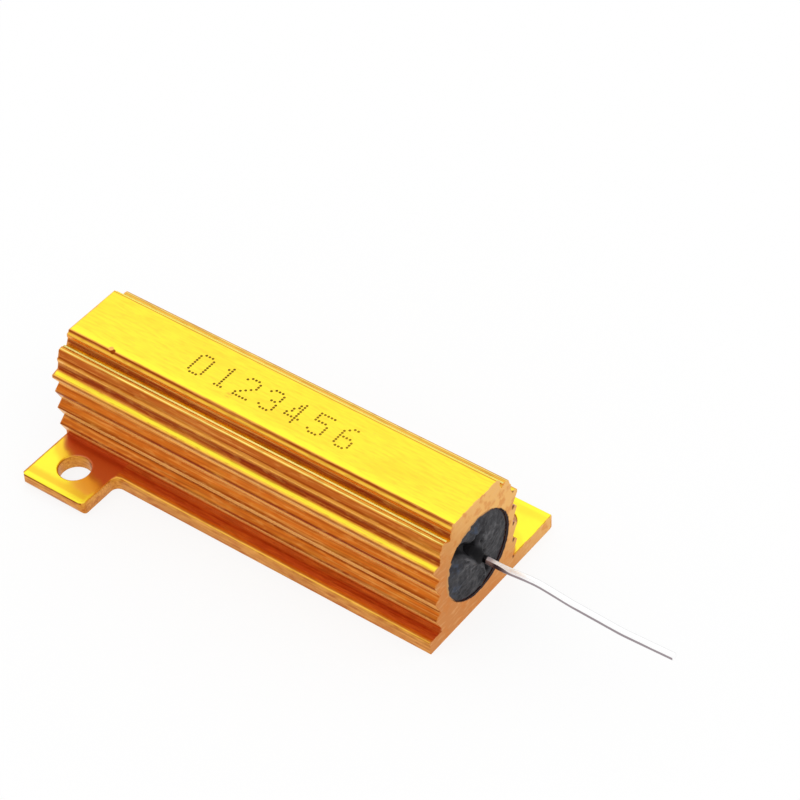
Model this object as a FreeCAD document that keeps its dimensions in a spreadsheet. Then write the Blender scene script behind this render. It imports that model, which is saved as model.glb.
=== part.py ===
import FreeCAD, Part
import Sketcher
import enum
import math
import os

# Aluminium housed power resistor.
# X runs along the resistor, Y across it and Z up from the mounting face.
# The origin is the centre of the housing's underside. Lengths are in millimetres.

SIZES = [
    # Housing: one finned extrusion, cut to length
    ("body_length", 50.0, "length of the extrusion"),
    ("body_height", 15.05, "mounting face to the top flat"),
    ("flat_width", 7.5, "top flat between its two edges"),
    ("flat_side_slope", 0.1, "how far the sides of the top flat slope out"),
    ("flat_side_drop", 0.25, "height of those sides"),
    ("top_rib_width", 8.24, "across the shallow ribs under the top flat"),
    ("top_rib_drop", 0.37, "top flat down to the upper edges of those ribs"),
    ("shoulder_groove_width", 8.8, "across the two grooves behind the shoulders"),
    ("shoulder_groove_level", 13.3, "height of the bottom of those grooves"),
    ("shoulder_crest_width", 10.3, "across the inner edges of the shoulder crests"),
    ("shoulder_crest_level", 13.66, "height of the inner edges of the crests"),
    ("shoulder_width", 11.2, "across the shoulders"),
    ("shoulder_level", 13.56, "height of the shoulder edges"),
    ("shoulder_foot_width", 11.7, "across the feet of the shoulders' outer faces"),
    ("shoulder_foot_level", 12.74, "height of those feet"),
    ("side_rib_width", 12.04, "across the shallow ribs under the shoulders"),
    ("side_rib_level", 12.62, "height of the upper edges of those ribs"),
    ("rib_face", 0.42, "height of a shallow rib's outer face"),
    ("rib_undercut", 0.07, "how far the side steps in under a shallow rib"),
    ("undercut_drop", 0.16, "height of that step"),
    ("ledge_groove_width", 12.3, "across the grooves behind the ledges"),
    ("ledge_groove_level", 11.3, "height of the bottom of those grooves"),
    ("ledge_width", 14.2, "across the ledges"),
    ("ledge_level", 11.05, "height of the ledge edges"),
    ("ledge_lip", 0.4, "upright edge of a ledge"),
    ("wall_width", 12.5, "across the side walls between the fins"),
    ("fin_count", 3, "small fins on each side"),
    ("fin_pitch", 2.41, "distance between small fins"),
    ("fin_level", 3.82, "height of the lowest fin's edge"),
    ("fin_depth", 0.8, "wall to the edge of a fin"),
    ("fin_upper_rise", 0.7, "height of a fin's upper face"),
    ("fin_lower_drop", 1.6, "height of a fin's under face"),
    ("fin_root", 0.3, "how far a fin is rooted in the wall"),
    ("edge_round", 0.12, "rounding of the extruded edges"),
    # Foot, tabs and bolt holes
    ("foot_width", 16.3, "foot between the two milled edges"),
    ("foot_thickness", 1.7, "foot and tabs"),
    ("tab_span", 27.1, "across the outer edges of the two tabs"),
    ("tab_length", 8.45, "tab along the resistor"),
    ("tab_corner_radius", 0.7, "milled outer corner of a tab"),
    ("flange_under_round", 0.7, "outer lower edge of the flange, as the die leaves it"),
    ("sawn_corner_cut", 0.25, "cut across the sawn outer corner of a tab"),
    ("notch_corner_radius", 0.9, "inner corner between tab and foot"),
    ("notch_margin", 2.0, "how far the cutter runs past the extrusion"),
    ("rim_round", 0.2, "rounded upper edge of tabs and foot"),
    ("hole_end_distance", 4.15, "sawn end to the middle of a bolt hole"),
    ("hole_inset", 0.15, "bolt hole inside the middle between wall and tab edge"),
    ("hole_diameter", 3.6, "bolt hole"),
    # Bore and what fills it
    ("bore_diameter", 10.4, "bore of the housing"),
    ("bore_level", 7.5, "height of the bore's axis"),
    ("fit_gap", 0.02, "running clearance between inner pieces"),
    ("end_recess", 0.08, "compound set back from the sawn ends"),
    ("collar_rise", 0.6, "how far the compound climbs along a lead"),
    ("collar_diameter", 2.6, "foot of that climb on the compound's face"),
    # Wound element
    ("core_diameter", 6.8, "ceramic core"),
    ("core_cover", 7.0, "sawn end to the end of the ceramic core"),
    ("core_chamfer", 0.3, "ends of the core"),
    ("ribbon_width", 1.6, "resistance ribbon, along the core"),
    ("ribbon_thickness", 0.25, "resistance ribbon"),
    ("ribbon_pitch", 3.8, "turn to turn of the winding"),
    ("cap_depth", 4.0, "how far an end cap reaches over the core"),
    ("cap_wall", 0.35, "sheet of an end cap"),
    # Leads
    ("lead_diameter", 0.8, "tinned copper wire"),
    ("head_diameter", 2.4, "flattened head welded to the cap"),
    ("head_thickness", 0.4, "flattened head welded to the cap"),
    ("lead_bend_radius", 10.0, "gentle bends of the straight lead"),
    ("first_bend_run", 3.5, "sawn end to the first bend"),
    ("first_bend_rise", 0.0, "first bend above the bore's axis"),
    ("second_bend_run", 7.3, "sawn end to the second bend"),
    ("second_bend_rise", 0.45, "second bend above the bore's axis"),
    ("third_bend_run", 11.5, "sawn end to the third bend"),
    ("third_bend_rise", -0.05, "third bend above the bore's axis"),
    ("fourth_bend_run", 17.5, "sawn end to the fourth bend"),
    ("fourth_bend_rise", -0.38, "fourth bend above the bore's axis"),
    ("lead_tip_run", 23.5, "sawn end to the lead's tip"),
    ("lead_tip_rise", -0.1, "lead's tip above the bore's axis"),
    ("formed_bend_radius", 1.2, "bend of the formed lead"),
    ("formed_lead_run", 2.2, "sawn end to the upright part of the formed lead"),
    ("formed_tip_level", 0.6, "formed lead's tip above the mounting face"),
]

FLAT_TOLERANCE = 1.0e-4


class Axis(enum.IntEnum):
    """A sketch's own axes, by the numbers that its constraints use."""

    ACROSS = -1
    UP = -2


class Point(enum.IntEnum):
    """The points of a sketch element, by the numbers that its constraints use."""

    START = 1
    END = 2
    CENTRE = 3


class Size:
    """A length that carries both its formula in the sheet and its value now."""

    def __init__(self, formula, value):
        self.formula = formula
        self.value = value

    @staticmethod
    def of(thing):
        """Turns a plain number into a size."""
        if isinstance(thing, Size):
            return thing
        return Size("({})".format(float(thing)), float(thing))

    def joined(self, sign, other, value):
        return Size("({} {} {})".format(self.formula, sign, other.formula), value)

    def __add__(self, other):
        other = Size.of(other)
        return self.joined("+", other, self.value + other.value)

    def __radd__(self, other):
        return Size.of(other) + self

    def __sub__(self, other):
        other = Size.of(other)
        return self.joined("-", other, self.value - other.value)

    def __rsub__(self, other):
        return Size.of(other) - self

    def __mul__(self, other):
        other = Size.of(other)
        return self.joined("*", other, self.value * other.value)

    def __truediv__(self, other):
        other = Size.of(other)
        return self.joined("/", other, self.value / other.value)

    def __neg__(self):
        return Size.of(-1) * self


class SizeTable:
    """The sheet's sizes by name."""

    def __init__(self, sheet):
        for alias, number, note in SIZES:
            setattr(self, alias, Size("{}.{}".format(sheet.Name, alias), float(sheet.get(alias))))


def make_sheet(doc):
    """Writes the driving dimensions into the document's spreadsheet."""
    sheet = doc.addObject("Spreadsheet::Sheet", "Sizes")
    for row, (alias, number, note) in enumerate(SIZES, start=1):
        sheet.set("A{}".format(row), note)
        sheet.set("B{}".format(row), str(number))
        sheet.setAlias("B{}".format(row), alias)
    doc.recompute()
    return sheet


def bind(thing, prop, size):
    """Ties a property to the sheet."""
    thing.setExpression(prop, Size.of(size).formula)


def new_body(doc, label, level=None):
    """Starts a sub-part, lifted to its level above the mounting face."""
    body = doc.addObject("PartDesign::Body", label)
    body.Label = label
    if level is not None:
        bind(body, "Placement.Base.z", level)
    return body


def origin_item(body, role):
    """Finds one of the body's own planes or axes."""
    return next(item for item in body.Origin.OriginFeatures if item.Role == role)


def new_sketch(body, name, role, offset=None):
    """Starts a sketch on one of the body's planes, set off along the plane's normal."""
    sketch = body.newObject("Sketcher::SketchObject", name)
    sketch.AttachmentSupport = [(origin_item(body, role), "")]
    sketch.MapMode = "FlatFace"
    if offset is not None:
        bind(sketch, "AttachmentOffset.Base.z", offset)
    return sketch


def hold(sketch, kind, *where, size):
    """Adds a dimension to a sketch and ties it to the sheet."""
    size = Size.of(size)
    index = sketch.addConstraint(Sketcher.Constraint(kind, *where, size.value))
    bind(sketch, "Constraints[{}]".format(index), size)


def hold_point(sketch, item, end, across, up):
    """Places a point of a sketch; a plain zero puts it on the axis."""
    for kind, axis, place in (("DistanceX", Axis.UP, across), ("DistanceY", Axis.ACROSS, up)):
        if isinstance(place, Size):
            hold(sketch, kind, Axis.ACROSS, Point.START, item, end, size=place)
        else:
            sketch.addConstraint(Sketcher.Constraint("PointOnObject", item, end, axis))


def spot(place):
    """Gives a sketch point as numbers, to draw it where it will be held."""
    across, up = place
    return FreeCAD.Vector(Size.of(across).value, Size.of(up).value, 0)


def add_polygon(sketch, corners):
    """Draws a closed outline through its corners and holds every corner."""
    first = sketch.GeometryCount
    count = len(corners)
    for index in range(count):
        line = Part.LineSegment(spot(corners[index]), spot(corners[(index + 1) % count]))
        sketch.addGeometry(line, False)
    for index in range(count):
        after = first + (index + 1) % count
        ends = (first + index, Point.END, after, Point.START)
        sketch.addConstraint(Sketcher.Constraint("Coincident", *ends))
    for index, (across, up) in enumerate(corners):
        hold_point(sketch, first + index, Point.START, across, up)


def add_circle(sketch, across, up, diameter):
    """Draws a circle with a held centre and diameter."""
    round_edge = Part.Circle(spot((across, up)), FreeCAD.Vector(0, 0, 1), diameter.value / 2)
    item = sketch.addGeometry(round_edge, False)
    hold(sketch, "Diameter", item, size=diameter)
    if isinstance(across, Size) or isinstance(up, Size):
        hold_point(sketch, item, Point.CENTRE, across, up)
    else:
        middle = (item, Point.CENTRE, Axis.ACROSS, Point.START)
        sketch.addConstraint(Sketcher.Constraint("Coincident", *middle))


def add_bent_path(sketch, stops, radius):
    """Draws straight runs joined by tangent arcs; stops are the ends and the sharp corners."""
    spots = [spot(stop) for stop in stops]
    runs = [(spots[index + 1] - spots[index]).normalize() for index in range(len(spots) - 1)]
    turns = [before.getAngle(after) for before, after in zip(runs, runs[1:])]
    trims = [0.0] + [radius.value * math.tan(turn / 2) for turn in turns] + [0.0]
    lines = []
    for index, run in enumerate(runs):
        near = spots[index] + run * trims[index]
        far = spots[index + 1] - run * trims[index + 1]
        lines.append(sketch.addGeometry(Part.LineSegment(near, far), False))
    for index in range(len(turns)):
        before, after = runs[index], runs[index + 1]
        left_turn = before.cross(after).z > 0
        hand = 1 if left_turn else -1
        side = FreeCAD.Vector(-before.y, before.x, 0) * hand
        touch = spots[index + 1] - before * trims[index + 1]
        centre = touch + side * radius.value
        leave = spots[index + 1] + after * trims[index + 1]
        entry, departure = (touch, leave) if left_turn else (leave, touch)
        angles = [math.atan2(place.y - centre.y, place.x - centre.x) for place in (entry, departure)]
        circle = Part.Circle(centre, FreeCAD.Vector(0, 0, 1), radius.value)
        arc = sketch.addGeometry(Part.ArcOfCircle(circle, angles[0], angles[1]), False)
        first_end, last_end = (Point.START, Point.END) if left_turn else (Point.END, Point.START)
        arrival = (lines[index], Point.END, arc, first_end)
        sketch.addConstraint(Sketcher.Constraint("Tangent", *arrival))
        leaving = (lines[index + 1], Point.START, arc, last_end)
        sketch.addConstraint(Sketcher.Constraint("Tangent", *leaving))
        hold(sketch, "Radius", arc, size=radius)
        corner = sketch.addGeometry(Part.Point(spots[index + 1]), True)
        hold_point(sketch, corner, Point.START, *stops[index + 1])
        for line in (lines[index], lines[index + 1]):
            sketch.addConstraint(Sketcher.Constraint("PointOnObject", corner, Point.START, line))
    hold_point(sketch, lines[0], Point.START, *stops[0])
    hold_point(sketch, lines[-1], Point.END, *stops[-1])


def add_edge_cutter(sketch, across, radius, margin):
    """Draws what a round takes off a lower edge: along both faces and the arc, and closed outside."""
    inner = across - radius * 2
    high = radius * 2
    add_bent_path(sketch, [(inner, 0), (across, 0), (across, high)], radius)
    before, after = 0, 1
    clear = across + margin
    outside = [(across, high), (clear, high), (clear, -margin), (inner, -margin), (inner, 0)]
    first = sketch.GeometryCount
    for start, end in zip(outside, outside[1:]):
        sketch.addGeometry(Part.LineSegment(spot(start), spot(end)), False)
    items = [after] + list(range(first, first + len(outside) - 1)) + [before]
    for item, following in zip(items, items[1:]):
        sketch.addConstraint(Sketcher.Constraint("Coincident", item, Point.END, following, Point.START))
    for item, corner in zip(items[2:], outside[1:-1]):
        hold_point(sketch, item, Point.START, *corner)


def add_pad(body, sketch, length, symmetric=False):
    """Pads a sketch along its normal, or both ways from it."""
    pad = body.newObject("PartDesign::Pad", sketch.Name + "Pad")
    pad.Profile = sketch
    pad.SideType = "Symmetric" if symmetric else "One side"
    bind(pad, "Length", length)
    return pad


def add_cut(doc, body, sketch, length, symmetric=False):
    """Cuts a sketch upwards from its plane, or both ways, and proves that it cut."""
    doc.recompute()
    before = body.Shape.Volume
    cut = body.newObject("PartDesign::Pocket", sketch.Name + "Cut")
    cut.Profile = sketch
    cut.SideType = "Symmetric" if symmetric else "One side"
    cut.Reversed = not symmetric
    bind(cut, "Length", length)
    doc.recompute()
    if body.Shape.Volume >= before:
        raise RuntimeError(sketch.Name + " removed nothing")
    return cut


def add_turned(body, sketch):
    """Revolves a sketch about the resistor's long axis."""
    turned = body.newObject("PartDesign::Revolution", sketch.Name + "Turned")
    turned.Profile = sketch
    turned.ReferenceAxis = (sketch, ["H_Axis"])
    turned.Angle = 360
    return turned


def half_turn_copy(doc, body, feature):
    """Repeats a feature at the opposite end and side of the housing."""
    pattern = body.newObject("PartDesign::PolarPattern", feature.Name + "Pair")
    pattern.Originals = [feature]
    pattern.Axis = (origin_item(body, "Z_Axis"), [""])
    pattern.Angle = 360
    pattern.Occurrences = 2
    body.Tip = pattern
    doc.recompute()
    return pattern


def pick_edges(shape, wanted):
    """Names the edges of a shape that the test picks."""
    numbered = enumerate(shape.Edges, start=1)
    return ["Edge{}".format(index) for index, edge in numbered if wanted(edge)]


def dress_edges(doc, body, name, kind, size, wanted):
    """Rounds or chamfers every edge of the body that the test picks."""
    doc.recompute()
    tip = body.Tip
    names = pick_edges(tip.Shape, wanted)
    if not names:
        raise RuntimeError(name + " found no edge")
    dressing = body.newObject("PartDesign::" + kind, name)
    dressing.Base = (tip, names)
    bind(dressing, "Radius" if kind == "Fillet" else "Size", size)
    doc.recompute()


def runs_along_x(edge):
    """Tells whether an edge is straight and parallel to the resistor."""
    ends = [vertex.Point for vertex in edge.Vertexes]
    if len(ends) != 2 or edge.Curve.TypeId != "Part::GeomLine":
        return False
    drift = ends[1] - ends[0]
    return abs(drift.y) < FLAT_TOLERANCE and abs(drift.z) < FLAT_TOLERANCE


def lies_on(edge, half_width, level):
    """Tells whether an edge along the resistor has this distance from its middle and this height."""
    place = edge.CenterOfMass
    aside = abs(abs(place.y) - half_width.value)
    above = abs(place.z - level.value)
    return max(aside, above) < FLAT_TOLERANCE


def rib_outline(s, width, level):
    """A shallow rib from its undercut up to its upper edge."""
    return [
        (width / 2 - s.rib_undercut, level - s.rib_face - s.undercut_drop),
        (width / 2, level - s.rib_face),
        (width / 2, level),
    ]


def top_rib_level(s):
    """Height of the upper edges of the ribs under the top flat."""
    return s.body_height - s.top_rib_drop


def half_section(s):
    """Half of the extrusion's outline, from the middle of the mounting face round to the top."""
    return [
        (0, 0),
        (s.tab_span / 2, 0),
        (s.tab_span / 2, s.foot_thickness),
        (s.wall_width / 2, s.foot_thickness),
        (s.wall_width / 2, s.fin_level + s.fin_pitch * (s.fin_count - 1) + s.fin_upper_rise),
        (s.ledge_width / 2, s.ledge_level - s.ledge_lip),
        (s.ledge_width / 2, s.ledge_level),
        (s.ledge_groove_width / 2, s.ledge_groove_level),
        *rib_outline(s, s.side_rib_width, s.side_rib_level),
        (s.shoulder_foot_width / 2, s.shoulder_foot_level),
        (s.shoulder_width / 2, s.shoulder_level),
        (s.shoulder_crest_width / 2, s.shoulder_crest_level),
        (s.shoulder_groove_width / 2, s.shoulder_groove_level),
        *rib_outline(s, s.top_rib_width, top_rib_level(s)),
        (s.flat_width / 2 + s.flat_side_slope, s.body_height - s.flat_side_drop),
        (s.flat_width / 2, s.body_height),
        (0, s.body_height),
    ]


def add_extrusion(doc, body, s):
    """The solid section with its ledges and shoulders, without the small fins."""
    sketch = new_sketch(body, "HalfSection", "YZ_Plane")
    add_polygon(sketch, half_section(s))
    half = add_pad(body, sketch, s.body_length, symmetric=True)
    whole = body.newObject("PartDesign::Mirrored", "WholeSection")
    whole.Originals = [half]
    whole.MirrorPlane = (origin_item(body, "XZ_Plane"), [""])
    body.Tip = whole
    doc.recompute()


def add_fins(doc, body, s):
    """The rows of small saw-tooth fins: a short upper face and a long under face each."""
    wall = s.wall_width / 2
    root = wall - s.fin_root
    top = s.fin_level + s.fin_upper_rise
    bottom = s.fin_level - s.fin_lower_drop
    sketch = new_sketch(body, "Fin", "YZ_Plane")
    edge = (wall + s.fin_depth, s.fin_level)
    add_polygon(sketch, [(root, bottom), (wall, bottom), edge, (wall, top), (root, top)])
    fin = add_pad(body, sketch, s.body_length, symmetric=True)
    rows = body.newObject("PartDesign::MultiTransform", "FinRows")
    rows.Originals = [fin]
    row = body.newObject("PartDesign::LinearPattern", "FinRow")
    row.Direction = (origin_item(body, "Z_Axis"), [""])
    bind(row, "Length", s.fin_pitch * (s.fin_count - 1))
    bind(row, "Occurrences", s.fin_count)
    other_side = body.newObject("PartDesign::Mirrored", "FinMirror")
    other_side.MirrorPlane = (origin_item(body, "XZ_Plane"), [""])
    rows.Transformations = [row, other_side]
    body.Tip = rows
    doc.recompute()


def add_extruded_rounds(doc, body, s):
    """Rounds the edges that the die leaves along the extrusion."""
    fin_edge = s.wall_width / 2 + s.fin_depth
    lines = [(fin_edge, s.fin_level + s.fin_pitch * row) for row in range(int(s.fin_count.value))]
    lines.append((s.flat_width / 2, s.body_height))
    for width, level in ((s.top_rib_width, top_rib_level(s)), (s.side_rib_width, s.side_rib_level)):
        lines.append((width / 2, level))
        lines.append((width / 2, level - s.rib_face))
    lines.append((s.shoulder_crest_width / 2, s.shoulder_crest_level))
    lines.append((s.shoulder_width / 2, s.shoulder_level))
    lines.append((s.ledge_width / 2, s.ledge_level))
    lines.append((s.ledge_width / 2, s.ledge_level - s.ledge_lip))

    def wanted(edge):
        return runs_along_x(edge) and any(lies_on(edge, *line) for line in lines)

    dress_edges(doc, body, "ExtrudedRounds", "Fillet", s.edge_round, wanted)


def add_notches(doc, body, s):
    """Mills the flange away on both sides, so that two tabs stay at opposite corners."""
    inner_end = s.tab_length - s.body_length / 2
    outer_end = s.body_length / 2 + s.notch_margin
    near = -s.foot_width / 2
    far = -s.tab_span / 2 - s.notch_margin
    sketch = new_sketch(body, "Notch", "XY_Plane")
    add_polygon(sketch, [(inner_end, far), (outer_end, far), (outer_end, near), (inner_end, near)])
    notch = add_cut(doc, body, sketch, s.foot_thickness + s.notch_margin)
    half_turn_copy(doc, body, notch)

    def inner_corner(edge):
        place = edge.CenterOfMass
        across = abs(abs(place.y) - s.foot_width.value / 2) < FLAT_TOLERANCE
        along = abs(abs(place.x) + inner_end.value) < FLAT_TOLERANCE
        return across and along and edge.Length > s.foot_thickness.value / 2

    def outer_corner(edge):
        place = edge.CenterOfMass
        ends = [vertex.Point for vertex in edge.Vertexes]
        upright = len(ends) == 2 and abs(ends[0].z - ends[1].z) > s.foot_thickness.value / 2
        return upright and abs(abs(place.y) - s.tab_span.value / 2) < FLAT_TOLERANCE

    def sawn_corner(edge):
        return outer_corner(edge) and abs(edge.CenterOfMass.x) > s.body_length.value / 2 - FLAT_TOLERANCE

    def milled_corner(edge):
        return outer_corner(edge) and not sawn_corner(edge)

    dress_edges(doc, body, "NotchCorners", "Fillet", s.notch_corner_radius, inner_corner)
    dress_edges(doc, body, "TabCorners", "Fillet", s.tab_corner_radius, milled_corner)
    dress_edges(doc, body, "SawnCorners", "Chamfer", s.sawn_corner_cut, sawn_corner)


def add_flange_rounds(doc, body, s):
    """Rounds the outer lower edges of the tabs, which the die leaves round."""
    sketch = new_sketch(body, "FlangeEdge", "YZ_Plane")
    add_edge_cutter(sketch, s.tab_span / 2, s.flange_under_round, s.notch_margin)
    cut = add_cut(doc, body, sketch, s.body_length + s.notch_margin, symmetric=True)
    half_turn_copy(doc, body, cut)


def add_bolt_holes(doc, body, s):
    """Drills the two bolt holes, each a little inside the middle of its tab's free width."""
    along = s.body_length / 2 - s.hole_end_distance
    across = (s.wall_width + s.tab_span) / 4 - s.hole_inset
    sketch = new_sketch(body, "BoltHole", "XY_Plane")
    add_circle(sketch, -along, -across, s.hole_diameter)
    hole = add_cut(doc, body, sketch, s.foot_thickness + s.notch_margin)
    half_turn_copy(doc, body, hole)


def add_foot_rounds(doc, body, s):
    """Breaks the upper edge of the foot, the tabs and the bolt holes."""
    level = s.foot_thickness.value
    wall = s.wall_width.value / 2 + FLAT_TOLERANCE
    sawn_plane = (s.body_length - s.sawn_corner_cut).value / 2 - FLAT_TOLERANCE

    def wanted(edge):
        box = edge.BoundBox
        on_top = abs(box.ZMin - level) < FLAT_TOLERANCE and abs(box.ZMax - level) < FLAT_TOLERANCE
        outside = max(abs(box.YMin), abs(box.YMax)) > wall
        sawn = abs(edge.CenterOfMass.x) > sawn_plane
        return on_top and outside and not sawn

    dress_edges(doc, body, "FootRounds", "Fillet", s.rim_round, wanted)


def build_housing(doc, s):
    """Gold anodised extrusion: finned body, foot, two bolt tabs and the bore."""
    body = new_body(doc, "housing")
    add_extrusion(doc, body, s)
    add_fins(doc, body, s)
    add_extruded_rounds(doc, body, s)
    add_notches(doc, body, s)
    add_flange_rounds(doc, body, s)
    add_bolt_holes(doc, body, s)
    add_foot_rounds(doc, body, s)
    sketch = new_sketch(body, "Bore", "YZ_Plane")
    add_circle(sketch, 0, s.bore_level, s.bore_diameter)
    add_cut(doc, body, sketch, s.body_length + s.notch_margin, symmetric=True)
    return body


def core_end(s):
    """Distance from the middle of the core to either of its ends."""
    return s.body_length / 2 - s.core_cover


def build_core(doc, s):
    """Ceramic rod that carries the winding."""
    body = new_body(doc, "ceramic_core", s.bore_level)
    sketch = new_sketch(body, "CoreSection", "YZ_Plane")
    add_circle(sketch, 0, 0, s.core_diameter)
    add_pad(body, sketch, core_end(s) * 2, symmetric=True)
    dress_edges(doc, body, "CoreChamfer", "Chamfer", s.core_chamfer, lambda edge: edge.isClosed())
    return body


def ribbon_bed(s):
    """Distance from the core's axis to the inner face of the resistance ribbon."""
    return s.core_diameter / 2 + s.fit_gap


def cap_radius(s):
    """Outer radius of an end cap."""
    return s.core_diameter / 2 + s.fit_gap + s.cap_wall


def cap_rim(s):
    """Distance from the middle of the core to the open rim of an end cap."""
    return core_end(s) - s.cap_depth


def cap_face(s):
    """Distance from the middle of the core to the outer face of an end cap."""
    return core_end(s) + s.fit_gap + s.cap_wall


def head_face(s):
    """Distance from the middle of the core to the outer face of a lead's head."""
    return cap_face(s) + s.head_thickness


def build_winding(doc, s):
    """Resistance ribbon in one open helix between the end caps."""
    body = new_body(doc, "resistance_winding", s.bore_level)
    sketch = new_sketch(body, "RibbonSection", "XZ_Plane")
    start = s.fit_gap - cap_rim(s)
    end = start + s.ribbon_width
    bed = ribbon_bed(s)
    top = bed + s.ribbon_thickness
    add_polygon(sketch, [(start, bed), (end, bed), (end, top), (start, top)])
    helix = body.newObject("PartDesign::AdditiveHelix", "RibbonHelix")
    helix.Profile = sketch
    helix.ReferenceAxis = (sketch, ["H_Axis"])
    helix.Mode = "pitch-height-angle"
    bind(helix, "Pitch", s.ribbon_pitch)
    bind(helix, "Height", -(start + end))
    return body


def build_end_cap(doc, s, label, side):
    """Pressed steel cup over one end of the core; side is 1 at +X and -1 at -X."""
    body = new_body(doc, label, s.bore_level)
    sketch = new_sketch(body, "CapSection", "XZ_Plane")
    inner = s.core_diameter / 2 + s.fit_gap
    floor = core_end(s) + s.fit_gap
    corners = [
        (floor, 0),
        (cap_face(s), 0),
        (cap_face(s), cap_radius(s)),
        (cap_rim(s), cap_radius(s)),
        (cap_rim(s), inner),
        (floor, inner),
    ]
    add_polygon(sketch, [(across * side, up) for across, up in corners])
    add_turned(body, sketch)
    return body


def build_lead(doc, s, label, side, stops, radius):
    """Tinned wire with a flattened head on the end cap, drawn along its stops."""
    body = new_body(doc, label, s.bore_level)
    head = new_sketch(body, "Head", "YZ_Plane", cap_face(s) * side)
    add_circle(head, 0, 0, s.head_diameter)
    disc = add_pad(body, head, s.head_thickness)
    disc.Reversed = side < 0
    path = new_sketch(body, "LeadPath", "XZ_Plane")
    add_bent_path(path, stops, radius)
    section = new_sketch(body, "LeadSection", "YZ_Plane", cap_face(s) * side)
    add_circle(section, 0, 0, s.lead_diameter)
    doc.recompute()
    wire = body.newObject("PartDesign::AdditivePipe", "LeadWire")
    wire.Profile = section
    wire.Spine = (path, [])
    return body


def straight_lead_stops(s):
    """Route of the lead at +X: nearly straight, as loosely bent as a handled wire."""
    end = s.body_length / 2
    return [
        (cap_face(s), 0),
        (end + s.first_bend_run, s.first_bend_rise),
        (end + s.second_bend_run, s.second_bend_rise),
        (end + s.third_bend_run, s.third_bend_rise),
        (end + s.fourth_bend_run, s.fourth_bend_rise),
        (end + s.lead_tip_run, s.lead_tip_rise),
    ]


def formed_lead_stops(s):
    """Route of the lead at -X: formed down behind the sawn end."""
    upright = -(s.body_length / 2 + s.formed_lead_run)
    return [
        (-cap_face(s), 0),
        (upright, 0),
        (upright, s.formed_tip_level - s.bore_level),
    ]


def build_compound(doc, s):
    """Moulded filling between the wound element and the bore, drawn up round both leads."""
    body = new_body(doc, "moulding_compound", s.bore_level)
    outer = s.bore_diameter / 2 - s.fit_gap
    rim = s.body_length / 2 - s.end_recess
    lead = s.lead_diameter / 2 + s.fit_gap
    head = s.head_diameter / 2 + s.fit_gap
    cap = cap_radius(s) + s.fit_gap
    turns = ribbon_bed(s) + s.ribbon_thickness + s.fit_gap
    right_half = [
        (rim, outer),
        (rim, s.collar_diameter / 2),
        (rim + s.collar_rise, lead),
        (head_face(s) + s.fit_gap, lead),
        (head_face(s) + s.fit_gap, head),
        (cap_face(s) + s.fit_gap, head),
        (cap_face(s) + s.fit_gap, cap),
        (cap_rim(s) - s.fit_gap, cap),
        (cap_rim(s) - s.fit_gap, turns),
    ]
    left_half = [(-across, up) for across, up in reversed(right_half)]
    sketch = new_sketch(body, "CompoundSection", "XZ_Plane")
    add_polygon(sketch, right_half + left_half)
    add_turned(body, sketch)
    return body


def check_document(doc, parts):
    """Stops if any object failed or any sub-part isn't one valid solid."""
    for item in doc.Objects:
        if "Invalid" in item.State or "Error" in item.State:
            raise RuntimeError("{} failed: {}".format(item.Name, item.State))
    for part in parts:
        shape = part.Shape
        if shape.isNull() or not shape.isValid() or len(shape.Solids) != 1:
            raise RuntimeError(part.Label + " is not one valid solid")
        print("{:20s} {:10.2f} mm3".format(part.Label, shape.Volume))


def main():
    doc = FreeCAD.newDocument("power_resistor")
    s = SizeTable(make_sheet(doc))
    parts = [
        build_housing(doc, s),
        build_core(doc, s),
        build_winding(doc, s),
        build_end_cap(doc, s, "end_cap_left", -1),
        build_end_cap(doc, s, "end_cap_right", 1),
        build_lead(doc, s, "lead_left", -1, formed_lead_stops(s), s.formed_bend_radius),
        build_lead(doc, s, "lead_right", 1, straight_lead_stops(s), s.lead_bend_radius),
        build_compound(doc, s),
    ]
    doc.recompute()
    check_document(doc, parts)
    os.makedirs("parts", exist_ok=True)
    for part in parts:
        part.Shape.exportStep(os.path.join("parts", part.Label + ".step"))


main()
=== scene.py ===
"""Looks of a finned, gold anodised power resistor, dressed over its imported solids.

All places are in the part's own frame: X runs along the resistor towards the straight
lead, Y across it and Z up from the mounting face. Lengths are in metres, except in the
finishes and the relief of the compound, which work in millimetres.
"""

import logging
import math
from dataclasses import dataclass
from enum import Enum
from typing import Any, Union

import bmesh
import bpy
from mathutils import Matrix, Vector, noise


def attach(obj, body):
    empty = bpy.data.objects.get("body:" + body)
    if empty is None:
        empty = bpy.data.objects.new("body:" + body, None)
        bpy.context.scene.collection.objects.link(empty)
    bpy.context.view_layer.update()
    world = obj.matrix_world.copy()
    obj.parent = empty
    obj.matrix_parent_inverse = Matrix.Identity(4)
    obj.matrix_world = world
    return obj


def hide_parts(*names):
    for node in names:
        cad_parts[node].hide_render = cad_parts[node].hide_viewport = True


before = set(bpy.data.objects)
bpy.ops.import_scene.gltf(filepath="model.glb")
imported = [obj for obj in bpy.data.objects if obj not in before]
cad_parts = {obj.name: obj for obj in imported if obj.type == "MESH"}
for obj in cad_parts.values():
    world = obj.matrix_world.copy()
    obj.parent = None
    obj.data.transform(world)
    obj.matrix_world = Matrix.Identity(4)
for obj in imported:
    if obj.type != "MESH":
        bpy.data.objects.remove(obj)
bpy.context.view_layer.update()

MM = 0.001
BODY = "root"
SIDES = ("left", "right")
AXIS_HEIGHT = 7.5
FLAT_HEIGHT = 15.05
FAINT_SHEEN = 0.1
LOG = logging.getLogger("resistor")

Material = bpy.types.Material
Mesh = bmesh.types.BMesh
Span = tuple[float, float]
Triple = tuple[float, float, float]
Colour = Triple


class Slot(Enum):
    """Finishes of the record for the housing and the filling."""

    HOUSING = "gold_anodised_extrusion"
    FILLING = "dark_compound"


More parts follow.
